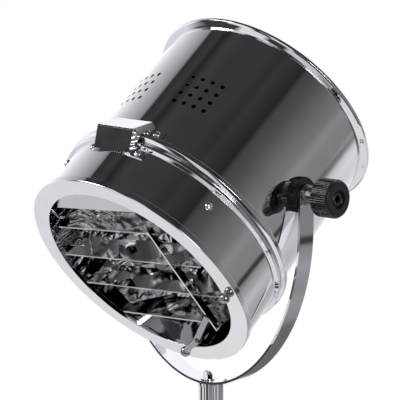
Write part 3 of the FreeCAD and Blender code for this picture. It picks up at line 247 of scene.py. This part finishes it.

# %% [markdown]
# ## Which finish goes on which solid
# Every solid arrives with a plain material named after its slot, such as polished_chrome. That
# name says which of the finishes above it gets. The louvre, its lever and the two balls are the
# exceptions: they get the darker chromes, whose tone is painted shade. The pieces modelled below
# take their finish from the solid that they stand for, so nothing is left grey.

# %% Dress the solids
BLADES = ["louvre_blade_%d" % number for number in range(1, 5)]
slot_of_node = {node: solid.data.materials[0].name.split(".")[0]
                for node, solid in frame["nodes"].items()}
body_of_node = {node: solid["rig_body"] for node, solid in frame["nodes"].items()}
finish_of_node = {node: by_slot[slot] for node, slot in slot_of_node.items()}
# Painted shade: the lever and both balls take the darkest chrome.
for node in ("lever_ball", "stop_ball", "shutter_lever"):
    finish_of_node[node] = painted_shade_chrome
# Painted shade: the louvre's plate and blades take the darker louvre chrome.
for node in ["top_louvre_plate"] + BLADES:
    finish_of_node[node] = louvre_painted_shade_chrome
for node, solid in frame["nodes"].items():
    solid.data.materials.clear()
    solid.data.materials.append(finish_of_node[node])
print("solids dressed:", len(finish_of_node))

# %% [markdown]
# ## Turning a mesh into a piece
# A mirror shows every flaw in a mesh. Broad faces have to keep a true direction right up to
# their edges, so each piece is shaded smooth, hard edges are marked sharp, and a weighted
# normal modifier lets the large faces win over the narrow ones of a rounded corner. The piece
# then rides on the same body as the solid that it stands for.

# %% Helpers that finish a mesh as a piece of the lamp
SAME_POINT = 1e-6
piece_sizes = {}


def as_object(mesh, name):
    data = bpy.data.meshes.new(name)
    mesh.to_mesh(data)
    mesh.free()
    thing = bpy.data.objects.new(name, data)
    bpy.context.scene.collection.objects.link(thing)
    return thing


def make_piece(mesh, name, node, sharp=38.0, even=True):
    bmesh.ops.remove_doubles(mesh, verts=mesh.verts, dist=SAME_POINT)
    bmesh.ops.recalc_face_normals(mesh, faces=mesh.faces)
    for face in mesh.faces:
        face.smooth = True
    for edge in mesh.edges:
        edge.smooth = not (len(edge.link_faces) == 2
                           and edge.calc_face_angle(0.0) > math.radians(sharp))
    piece = as_object(mesh, name)
    piece.data.materials.append(finish_of_node[node])
    if even:
        shading = piece.modifiers.new("even shading", "WEIGHTED_NORMAL")
        shading.keep_sharp = True
    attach(piece, body_of_node[node])
    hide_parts(node)
    piece_sizes[name] = len(piece.data.polygons)
    print("%-22s %6d faces, rides on %s" % (name, piece_sizes[name], body_of_node[node]))
    return piece


# %% [markdown]
# ## Spun metal
# The drum, its rings and the reflector are all made on a spinning lathe: a sheet is pressed
# against a turning form. In Blender it is the same. The wall's outline is drawn once as a face,
# its corners are rounded with a vertex bevel, and the spin operator carries the outline round
# the axis. The full turn is merged, so no seam is left. Each point of an outline is a distance
# behind the front plate and a radius.

# %% Helpers that spin an outline about the head's axis
def spun_wall(outline, rounding=0.0, steps=224):
    mesh = bmesh.new()
    mesh.faces.new([mesh.verts.new((radius * MM, behind * MM, 0)) for behind, radius in outline])
    if rounding:
        bmesh.ops.bevel(mesh, geom=mesh.verts[:], offset=rounding * MM, offset_type="OFFSET",
                        segments=3, profile=0.5, affect="VERTICES", material=-1,
                        clamp_overlap=True)
    mesh.faces.ensure_lookup_table()
    section = mesh.faces[0]
    bmesh.ops.spin(mesh, geom=mesh.edges[:], axis=(0, 1, 0), cent=(0, 0, 0),
                   angle=math.tau, steps=steps, use_merge=True)
    bmesh.ops.delete(mesh, geom=[section], context="FACES_ONLY")
    return mesh


def carried(mesh, way):
    bmesh.ops.transform(mesh, matrix=way, verts=mesh.verts)
    return mesh


def spun_piece(name, node, rounding, outline):
    return make_piece(carried(spun_wall(outline, rounding), to_head), name, node)


# %% [markdown]
# ## The front plate and the ring behind it
# The flat chrome plate round the louvre is the face of the lamp, 300 mm across, with a soft
# outer corner and its inner edge rolled back into the opening. The ring behind it is plain for
# 66 mm and ends in a raised bead that grips the drum. Both are true circles, so both are spun.

# %% Front plate and front ring
spun_piece("front_plate", "bezel", 0.45, [
    (0, 127.5), (0, 149.3), (0.7, 150), (8, 150), (8, 146.7), (2, 146.7), (2, 129),
    (6, 129), (6, 127.5)])
spun_piece("front_ring_wall", "front_ring", 0.4, [
    (2.05, 146.5), (66, 146.5), (68, 151.3), (71.5, 151.3), (72.5, 149.8), (72.5, 142.75),
    (71, 142.75), (71, 149.2), (69.2, 149.4), (67, 145), (2.05, 145)])

# %% [markdown]
# ## The drum and its vents
# The drum is one spun wall with a raised bead at its front, over which the ring closes. Warm
# air leaves through two groups of sixteen round holes on top. On the real drum they are punched,
# and here a boolean takes them out with thirty-two small cylinders at once, set round the axis
# and pointing outwards.

# %% Draw the drum and its punches
DRUM_RADIUS = 142.5
DRUM_INSIDE = DRUM_RADIUS - 1.5
GROUP_ANGLE, COLUMN_ANGLE = 19.6, 5.45
FIRST_ROW, ROW_PITCH = 150.5, 13.7
HOLE_RADIUS, PUNCH_LENGTH = 2.9, 12

drum_wall = spun_wall([
    (52, DRUM_RADIUS), (76.1, DRUM_RADIUS), (76.1, 149.5), (79.1, 153), (84.1, 153),
    (87.1, DRUM_RADIUS), (276, DRUM_RADIUS), (276, DRUM_INSIDE), (86.0, DRUM_INSIDE),
    (83.2, 151.4), (79.8, 151.4), (77.6, 148.9), (77.6, DRUM_INSIDE), (52, DRUM_INSIDE)], 0.45)
punches = bmesh.new()
for side in (-1, 1):
    for column in range(4):
        angle = math.radians(90 + side * GROUP_ANGLE + (column - 1.5) * COLUMN_ANGLE)
        outward = Matrix.Rotation(math.pi / 2 - angle, 4, "Y")
        for row in range(4):
            behind = FIRST_ROW + ROW_PITCH * row
            there = outward @ Matrix.Translation((0, behind * MM, DRUM_RADIUS * MM))
            bmesh.ops.create_cone(punches, cap_ends=True, cap_tris=False, segments=28,
                                  radius1=HOLE_RADIUS * MM, radius2=HOLE_RADIUS * MM,
                                  depth=PUNCH_LENGTH * MM, matrix=there)
print("drum wall:", len(drum_wall.faces), "faces; punches:", len(punches.faces), "faces")

# %% Punch the drum
def punched(mesh, tools):
    blank = as_object(mesh, "blank")
    tool = as_object(tools, "punch")
    cut = blank.modifiers.new("punch", "BOOLEAN")
    cut.operation, cut.solver, cut.object = "DIFFERENCE", "EXACT", tool
    bpy.context.view_layer.update()
    result = bmesh.new()
    result.from_object(blank, bpy.context.evaluated_depsgraph_get())
    bpy.data.objects.remove(blank)
    bpy.data.objects.remove(tool)
    return result


drum = make_piece(carried(punched(drum_wall, punches), to_head), "drum_shell", "drum",
                  even=False)

# %% [markdown]
# ## A cylinder that shades as one
# The boolean leaves long thin faces round the holes, and a cut mirror would show them as flats.
# The drum is a known cylinder, so the right direction at each of its corners is simply straight
# out from the axis. Those directions are written into the mesh as custom normals, on the faces
# that look straight out or in. The bead's slopes and the holes keep their own.

# %% Shade the drum's wall as a true cylinder
NEARLY = 0.01
from_head = to_head.inverted()
straighten, tilt_again = from_head.to_3x3(), to_head.to_3x3()
directions = [Vector(corner.vector) for corner in drum.data.corner_normals]
for face in drum.data.polygons:
    level = straighten @ face.normal
    for corner in face.loop_indices:
        spot = from_head @ drum.data.vertices[drum.data.loops[corner].vertex_index].co
        radial = Vector((spot.x, 0, spot.z)).normalized()
        facing = level.dot(radial)
        if abs(level.y) < NEARLY and abs(abs(facing) - 1) < NEARLY:
            directions[corner] = tilt_again @ (radial if facing > 0 else -radial)
drum.data.normals_split_custom_set(directions)
print("drum corners shaded:", len(directions))

# %% [markdown]
# ## The back of the head
# A narrow flared rim ends the drum. Its sleeve slides inside the drum, and inside it is a seat
# to which the cover is screwed. The rim's bright lip is all that shows from the front, so the
# rim is spun again with a small rounding, and the cover keeps its own solid.

# %% Rear rim
spun_piece("rear_rim_wall", "rear_rim", 0.3, [
    (262, 140.92), (276.3, 140.92), (277.8, 144), (279.5, 149), (281, 150.5), (284, 150.5),
    (284, 149), (281.6, 149), (280.9, 148.4), (279.3, 143.6), (278, 140.4), (276.6, 139.42),
    (276, 134.42), (274, 134.42), (274, 139.42), (262, 139.42)])

# %% [markdown]
# ## Inside the drum
# Behind the louvre sits a bowl of spun aluminium that throws the light forwards, with a flat
# ring to the drum's wall. The bowl's curve is a quarter of an ellipse. Fourteen steps are enough
# for the outline, because the shading rounds the rest.

# %% Reflector bowl and its ring
MOUTH_BEHIND, MOUTH_RADIUS, NECK_BEHIND, NECK_RADIUS = 54.0, 136.0, 222.0, 27.0
BOWL_WALL, BOWL_STEPS, BOWL_TURNS = 1.2, 14, 160

outer_line = []
inner_line = []
for step in range(BOWL_STEPS + 1):
    share = math.sin(math.pi / 2 * step / BOWL_STEPS)
    behind = MOUTH_BEHIND + (NECK_BEHIND - MOUTH_BEHIND) * share
    radius = NECK_RADIUS + (MOUTH_RADIUS - NECK_RADIUS) * math.sqrt(max(0.0, 1 - share * share))
    outer_line.append((behind, radius))
    inner_line.append((behind - BOWL_WALL * share, radius - BOWL_WALL))
bowl = spun_wall(outer_line + inner_line[::-1], steps=BOWL_TURNS)
make_piece(carried(bowl, to_head), "reflector_bowl", "reflector", even=False)
spun_piece("reflector_flat_ring", "reflector_ring", 0.5, [
    (49.7, 133), (49.7, 140.9), (53.7, 140.9), (53.7, 133)])

# %% [markdown]
# ## The wire hoop
# A bright 3 mm wire lies in the groove between ring and drum and runs into the bracket on top,
# where its ends are held. It is a circle swept most of the way round, and its two ends are then
# drawn out straight, along the tangent, as the bracket pulls them. The tips end inside the
# bracket, ten degrees from the top.

# %% Hoop
HOOP_RADIUS, HOOP_BEHIND, WIRE_RADIUS, STRAIGHT_END = 146.4, 74.3, 1.6, 16.0
TIP_FROM_TOP = 10
end_angle = 90 - math.degrees(math.asin(STRAIGHT_END / HOOP_RADIUS)) - TIP_FROM_TOP
end_turn = math.radians(end_angle)

hoop = bmesh.new()
ring = bmesh.ops.create_circle(
    hoop, cap_ends=False, segments=20, radius=WIRE_RADIUS * MM,
    matrix=Matrix.Translation((HOOP_RADIUS * MM, HOOP_BEHIND * MM, 0)))
bmesh.ops.rotate(hoop, verts=ring["verts"], cent=(0, 0, 0),
                 matrix=Matrix.Rotation(-end_turn, 3, "Y"))
first_edges = hoop.edges[:]
swept = bmesh.ops.spin(hoop, geom=first_edges, axis=(0, 1, 0), cent=(0, 0, 0),
                       angle=math.radians(180 + 2 * end_angle), steps=200, use_merge=False)
last_edges = [item for item in swept["geom_last"] if isinstance(item, bmesh.types.BMEdge)]


def only_verts(made):
    return [item for item in made["geom"] if isinstance(item, bmesh.types.BMVert)]


for side, edges in ((1, first_edges), (-1, last_edges)):
    tangent = Vector((-side * math.sin(end_turn), 0, math.cos(end_turn)))
    tip = only_verts(bmesh.ops.extrude_edge_only(hoop, edges=edges))
    bmesh.ops.translate(hoop, verts=tip, vec=tangent * STRAIGHT_END * MM)
    open_edges = {edge for vert in tip for edge in vert.link_edges if len(edge.link_faces) == 1}
    bmesh.ops.contextual_create(hoop, geom=list(open_edges))
make_piece(carried(hoop, to_head), "wire_hoop", "clamp_hoop")

# %% [markdown]
# ## Easing the hard edges of the other solids
# No pressed or cast part has a perfectly sharp edge, and on bright metal the edge is where most
# of the light catches. For parts whose shape is right already, a copy of the solid is enough:
# its loose triangles are merged, flat areas are dissolved back into single faces, and the hard
# edges get a narrow bevel. Cast blocks get a wider one than folded sheet.

# %% Ease the edges of copies of the solids
EDGE_WIDTHS = {
    "top_bracket": 0.4, "bracket_plate": 0.25, "link_bar": 0.3, "shutter_lever": 0.35,
    "top_louvre_plate": 0.25, "cap_nut": 0.4, "swivel_block": 1.2, "mast_clamp": 1.2,
    "tripod_crown": 0.8, "yoke_strap": 0.6,
}
EDGE_WIDTHS.update({blade: 0.3 for blade in BLADES})
HARD_EDGE, FLAT_ENOUGH = math.radians(34.0), math.radians(0.6)

for node, width in EDGE_WIDTHS.items():
    copy = bmesh.new()
    copy.from_mesh(frame["nodes"][node].data)
    bmesh.ops.remove_doubles(copy, verts=copy.verts, dist=0.01 * MM)
    bmesh.ops.dissolve_limit(copy, angle_limit=FLAT_ENOUGH, verts=copy.verts, edges=copy.edges,
                             delimit=set())
    hard_edges = [edge for edge in copy.edges if len(edge.link_faces) == 2
                  and edge.calc_face_angle(0.0) > HARD_EDGE]
    bmesh.ops.bevel(copy, geom=hard_edges, offset=width * MM, offset_type="OFFSET", segments=2,
                    profile=0.5, affect="EDGES", material=-1, clamp_overlap=True)
    make_piece(copy, node + "_eased", node, sharp=30.0)

# %% [markdown]
# ## The two tilt knobs
# Each knob is a black moulding with fine ribs for the fingers, a chamfered nose and a round
# recess in which the end of the bolt shows. It is built as a stack of rings with the same
# number of corners, each joined to the next by a band of faces. Six corners make one rib, and
# the ones between two ribs are drawn in. A ring is given by its distance from the pivot, its
# radius and how deep its ribs are.

# %% A helper that stacks ribbed rings
RIBS = 56
ONE_RIB = (0.0, 0.0, 0.25, 1.0, 1.0, 0.25)
CORNERS = RIBS * len(ONE_RIB)


def ring_stack(rings):
    mesh = bmesh.new()
    below = None
    for height, radius, depth in rings:
        ring = bmesh.ops.create_circle(mesh, cap_ends=False, segments=CORNERS,
                                       radius=radius * MM,
                                       matrix=Matrix.Translation((0, 0, height * MM)))["verts"]
        for place, vert in enumerate(ring):
            share = 1 - depth * ONE_RIB[place % len(ONE_RIB)] / radius
            vert.co.x *= share
            vert.co.y *= share
        if below:
            for place in range(CORNERS):
                after = (place + 1) % CORNERS
                mesh.faces.new((below[place], below[after], ring[after], ring[place]))
        below = ring
    return mesh


# %% Knobs
KNOB_RINGS = [
    (172.35, 4.2, 0), (172.35, 10.7, 0), (172.65, 11, 0), (176.35, 11, 0), (176.35, 21.4, 0),
    (176.6, 22.2, 0.9), (176.9, 22.4, 1.0), (197.9, 22.4, 1.0), (198.4, 22.2, 0.9),
    (200.2, 21.1, 0.3), (200.9, 20.6, 0), (201.25, 20.0, 0), (201.35, 19.4, 0), (201.35, 12.1, 0),
    (201.2, 11.6, 0), (200.9, 11.4, 0), (197.6, 11.4, 0), (197.35, 11.1, 0), (197.35, 8.1, 0),
    (197.55, 7.9, 0), (199.1, 7.9, 0), (199.35, 7.6, 0), (199.35, 4.2, 0), (198.0, 4.2, 0)]
for side, label in ((1, "right"), (-1, "left")):
    outward = to_pivot @ Matrix.Rotation(side * math.pi / 2, 4, "Y")
    make_piece(carried(ring_stack(KNOB_RINGS), outward), "ribbed_knob_" + label,
               "tilt_knob_" + label, sharp=30.0)

# %% [markdown]
# ## One screw
# Four dome-headed screws fix the front ring to the drum, and six rivets of the same kind hold the
# bracket's tabs and sides. A cross is pressed into each head, so a star of light sits in the
# middle of the dome. One screw is turned on the lathe from its outline, of radius and height,
# and the cross is cut with a plus-shaped bar.

# %% Turn one screw and press its cross
SCREW_OUTLINE = [(0.0, -3.5), (1.45, -3.5), (1.45, 0.0), (4.8, 0.0), (4.65, 0.9), (4.0, 1.7),
                 (2.8, 2.3), (1.4, 2.55), (0.0, 2.6)]
HALF_SLOT, ARM, CROSS_FLOOR, CROSS_BAR = 0.5, 2.4, 1.2, 3
ONE_ARM = [(HALF_SLOT, HALF_SLOT), (HALF_SLOT, ARM), (-HALF_SLOT, ARM)]

one_screw = bmesh.new()
line = [one_screw.verts.new((radius * MM, 0, height * MM)) for radius, height in SCREW_OUTLINE]
for first, second in zip(line, line[1:]):
    one_screw.edges.new((first, second))
bmesh.ops.spin(one_screw, geom=one_screw.edges[:], axis=(0, 0, 1), cent=(0, 0, 0),
               angle=math.tau, steps=32, use_merge=True)
bmesh.ops.remove_doubles(one_screw, verts=one_screw.verts, dist=SAME_POINT)
bmesh.ops.recalc_face_normals(one_screw, faces=one_screw.faces)

plus = []
arm = ONE_ARM
for quarter in range(4):
    plus += arm
    arm = [(-y, x) for x, y in arm]
cross = bmesh.new()
plus_face = cross.faces.new([cross.verts.new((x * MM, y * MM, CROSS_FLOOR * MM))
                             for x, y in plus])
top = only_verts(bmesh.ops.extrude_face_region(cross, geom=[plus_face], use_keep_orig=True))
bmesh.ops.translate(cross, vec=(0, 0, CROSS_BAR * MM), verts=top)
bmesh.ops.recalc_face_normals(cross, faces=cross.faces)
screw_shape = as_object(punched(one_screw, cross), "one screw")
print("one screw:", len(screw_shape.data.polygons), "faces")

# %% [markdown]
# ## Setting the screws and rivets down
# A screw's place is a matrix: out from the head's axis at some angle, with the dome pointing
# outwards. Every head is turned a little further than the last, because nobody tightens screws
# to the same angle. The rivets are the same shape made smaller, four in the bracket's tabs and
# one in each of its ends.

# %% Screws and rivets
FIRST_TURN, NEXT_TURN = 0.4, 0.7
SCREW_ANGLE, SCREW_RADIUS, SCREW_BEHIND = 33.2, 146.55, 49
BRACKET_ROLL, TAB_ASIDE, TAB_THICKNESS, RIVET_SIZE = 2.2, 35.7, 1.45, 0.88
END_ASIDE, END_BEHIND, END_HEIGHT = 28.05, 76, 157.75


def stand_at(degrees, radius, behind):
    a = math.radians(degrees)
    spot = (radius * math.cos(a) * MM, behind * MM, radius * math.sin(a) * MM)
    return Matrix.Translation(spot) @ Matrix.Rotation(math.pi / 2 - a, 4, "Y")


def set_down(places, size):
    group = bmesh.new()
    for number, place in enumerate(places):
        holder = screw_shape.data.copy()
        holder.transform(place @ Matrix.Rotation(FIRST_TURN + number * NEXT_TURN, 4, "Z")
                         @ Matrix.Diagonal((size, size, size, 1)))
        group.from_mesh(holder)
        bpy.data.meshes.remove(holder)
    return carried(group, to_head)


screw_places = [stand_at(SCREW_ANGLE + 90 * number, SCREW_RADIUS, SCREW_BEHIND)
                for number in range(4)]
rivet_places = []
for behind, surface in ((59, 146.5), (95, 142.5)):
    reach = math.degrees(math.asin(TAB_ASIDE / surface))
    for side in (-1, 1):
        rivet_places.append(stand_at(90 - BRACKET_ROLL + side * reach, surface + TAB_THICKNESS,
                                     behind))
for side in (-1, 1):
    spot = (side * END_ASIDE * MM, END_BEHIND * MM, END_HEIGHT * MM)
    rivet_places.append(Matrix.Rotation(math.radians(BRACKET_ROLL), 4, "Y")
                        @ Matrix.Translation(spot)
                        @ Matrix.Rotation(side * math.pi / 2, 4, "Y"))
make_piece(set_down(screw_places, 1.0), "cross_head_screws", "ring_screws", sharp=32.0)
make_piece(set_down(rivet_places, RIVET_SIZE), "bracket_rivet_heads", "bracket_rivets",
           sharp=32.0)
bpy.data.objects.remove(screw_shape)

# %% [markdown]
# ## The floor
# The lamp stands on a round sheet of pale paper. It catches the feet's soft shadow. A larger
# floor would fill the lower half of every reflection in the chrome, so it is kept to 2.3 m
# across, and the room below takes over beyond its edge.

# %% Floor
FLOOR_RADIUS = 1.15
floor_mesh = bmesh.new()
bmesh.ops.create_circle(floor_mesh, cap_ends=True, segments=96, radius=FLOOR_RADIUS)
floor = as_object(floor_mesh, "studio_floor")
paper = bpy.data.materials.new("pale floor")
paper.use_nodes = True
sheet_shader = paper.node_tree.nodes["Principled BSDF"]
sheet_shader.inputs["Base Color"].default_value = (0.77, 0.77, 0.78, 1)
sheet_shader.inputs["Roughness"].default_value = 0.7
floor.data.materials.append(paper)
print("floor:", 2 * FLOOR_RADIUS, "m across")

# %% [markdown]
# ## A room that is only there for the chrome
# Chrome shows the room that it stands in, so the room matters more than the lamps. Modelling one
# would be slow, and this script reads no pictures, so the room is a world whose brightness
# depends on the direction of a ray. A ray's height is turned into brightness by a colour ramp,
# and the same is done with its x and y, to mix one ramp with another.

# %% Helpers that give the room its brightness
room = bpy.data.worlds.new("studio room")
bpy.context.scene.world = room
room.use_nodes = True
tree = room.node_tree
tree.nodes.clear()
axes = add_node(tree, "SeparateXYZ")
tree.links.new(add_node(tree, "TexCoord").outputs["Generated"], axes.inputs["Vector"])


def along(axis, low, high):
    return spread(tree, axes.outputs[axis], low, high)


def shades(axis, stops):
    return colour_ramp(tree, along(axis, -1.0, 1.0), [
        ((place + 1) / 2, (level, level * 0.985, level * 1.02)) for place, level in stops])


def shades_by_elevation(stops):
    return shades("Z", [(math.sin(math.radians(degrees)), level) for degrees, level in stops])


def laid_over(under, over, share):
    layer = add_node(tree, "MixRGB")
    tree.links.new(share, layer.inputs["Fac"])
    tree.links.new(under, layer.inputs["Color1"])
    tree.links.new(over, layer.inputs["Color2"])
    return layer.outputs["Color"]


# %% [markdown]
# ## The two sides of the room
# Each number pair is an elevation in degrees and a brightness. The room is pale on the lamp's
# left, up to a dark ceiling, and grey on its right, so that the drum turns from light to dark as
# one looks round it. Narrow dark lines, as between the panels of a wall, keep the reflections
# crisp.

# %% The left and right side of the room
pale_side = shades_by_elevation([
    (-90, 0.8), (-25, 0.8), (-20, 0.62), (-17, 0.85), (-5, 1.05), (7, 1.05), (14, 0.92),
    (21, 0.77), (29, 0.61), (37, 0.46), (45, 0.31), (47, 0.22), (48.5, 0.03), (58, 0.045),
    (63, 0.02), (72, 0.05), (90, 0.04)])
grey_side = shades_by_elevation([
    (-90, 0.1), (-30, 0.12), (-22, 0.36), (-18, 0.30), (-15.5, 0.26), (-14, 0.05),
    (-12.5, 0.05), (-11, 0.24), (-2, 0.25), (3, 0.28), (9, 0.20), (17, 0.165), (25, 0.12),
    (32, 0.085), (41, 0.065), (45, 0.02), (60, 0.04), (75, 0.03), (90, 0.04)])
both_sides = laid_over(pale_side, grey_side, along("X", 0.05, 0.55))
print("room sides ready")

# %% [markdown]
# ## Behind the lamp and in front of it
# A pale backdrop hangs behind the lamp, and the rims catch it. In front stands a row of light
# and dark cards, each as wide as its two numbers of x say. The louvre's blades and the bowl
# reflect them as bright and black stripes, which is what makes polished sheet look polished.

# %% Backdrop and cards
backdrop = shades_by_elevation([
    (-90, 0.14), (-30, 0.16), (-22, 0.6), (-12, 1.1), (62, 1.1), (72, 0.1)])
behind_lamp = add_node(tree, "Math")
behind_lamp.operation = "MULTIPLY"
tree.links.new(along("Y", 0.52, 0.64), behind_lamp.inputs[0])
tree.links.new(along("X", 0.42, 0.18), behind_lamp.inputs[1])
cards = shades("X", [
    (-1.0, 0.95), (-0.88, 0.95), (-0.80, 0.05), (-0.52, 0.05), (-0.46, 0.9), (-0.2, 0.9),
    (-0.12, 0.04), (0.05, 0.04), (0.1, 0.7), (0.32, 0.7), (0.36, 0.03), (0.62, 0.03),
    (0.68, 0.45), (0.86, 0.3), (0.9, 0.05), (1.0, 0.05)])
whole_room = laid_over(laid_over(both_sides, backdrop, behind_lamp.outputs[0]), cards,
                       along("Y", -0.38, -0.52))
print("backdrop and cards ready")

# %% [markdown]
# ## Who sees which room
# Only mirror reflections see the shaped room. Everything matt is lit by an even white, so its
# colour comes out as it is written, and the camera itself sees plain white behind the lamp. The
# light path node tells these rays apart.

# %% Join the room to its rays
EVEN_LIGHT = 0.85
WHITE = (1, 1, 1, 1)


def chosen(share, otherwise, then):
    pick = add_node(tree, "MixShader")
    tree.links.new(share, pick.inputs["Fac"])
    tree.links.new(otherwise, pick.inputs[1])
    tree.links.new(then, pick.inputs[2])
    return pick.outputs["Shader"]


rays = add_node(tree, "LightPath")
reflected = add_node(tree, "Background")
tree.links.new(whole_room, reflected.inputs["Color"])
lighting = add_node(tree, "Background", Color=WHITE, Strength=EVEN_LIGHT)
seen = add_node(tree, "Background", Color=WHITE)
lit = chosen(rays.outputs["Is Glossy Ray"], lighting.outputs["Background"],
             reflected.outputs["Background"])
tree.links.new(chosen(rays.outputs["Is Camera Ray"], lit, seen.outputs["Background"]),
               add_node(tree, "OutputWorld").inputs["Surface"])
print("room ready:", len(tree.nodes), "nodes")

# %% [markdown]
# ## Soft lamps
# Two large soft lamps light the plastic and the inside, and give the chrome its few bright
# edges. Each is placed by its angle from straight behind the lamp, its elevation and its distance
# from the pivot, and looks at the pivot, so that it is easy to aim.

# %% Lamps
def soft_lamp(name, azimuth, elevation, distance, size, power):
    light = bpy.data.lights.new(name, "AREA")
    light.shape = "RECTANGLE"
    light.size, light.size_y = size
    light.energy = power
    lamp = bpy.data.objects.new(name, light)
    bpy.context.scene.collection.objects.link(lamp)
    a, e = math.radians(azimuth), math.radians(elevation)
    aim = Vector((math.sin(a) * math.cos(e), math.cos(a) * math.cos(e), math.sin(e)))
    lamp.location = to_pivot.translation + aim * distance
    lamp.rotation_euler = (-aim).to_track_quat("-Z", "Y").to_euler()
    print(name, "at", [round(c, 2) for c in lamp.location])


soft_lamp("left softbox", azimuth=-140, elevation=35, distance=2.6, size=(1.0, 1.0), power=28)
soft_lamp("right softbox", azimuth=112, elevation=12, distance=2.4, size=(0.5, 1.2), power=14)

# %% [markdown]
# ## The camera
# The photograph was taken from the lamp's right and slightly above, with a long lens, and only
# the head and the top of the stem are in it. The camera's place and its lens were worked out
# from the ellipses of the front plate and the rear rim. Its three directions are written as the
# rows of a matrix and then transposed, which is easier to read than three angles.

# %% Camera
LENS = 144.94
CAMERA_RIGHT = Vector((0.73294, 0.68029, 0.0))
CAMERA_UP = Vector((-0.10220, 0.11006, 0.98866))
CAMERA_BACK = Vector((0.67257, -0.72463, 0.15019))
CAMERA_PLACE = Vector((1.3137, -1.4299, 0.2736 + PIVOT_HEIGHT * MM))

camera_data = bpy.data.cameras.new("studio camera")
camera_data.sensor_width = 36.0
camera_data.lens = LENS
camera_data.clip_end = 50.0
camera = bpy.data.objects.new("studio camera", camera_data)
bpy.context.scene.collection.objects.link(camera)
turned = Matrix((CAMERA_RIGHT, CAMERA_UP, CAMERA_BACK)).transposed().to_4x4()
camera.matrix_world = Matrix.Translation(CAMERA_PLACE) @ turned
bpy.context.scene.camera = camera
bpy.context.scene.view_settings.view_transform = "Standard"
print("camera at", [round(c, 3) for c in camera.matrix_world.translation])

# %% [markdown]
# ## The last step
# The number of modelled pieces and of their faces is printed at the end.

# %% Sizes and finish
print("modelled pieces:", len(piece_sizes), "faces:", sum(piece_sizes.values()))
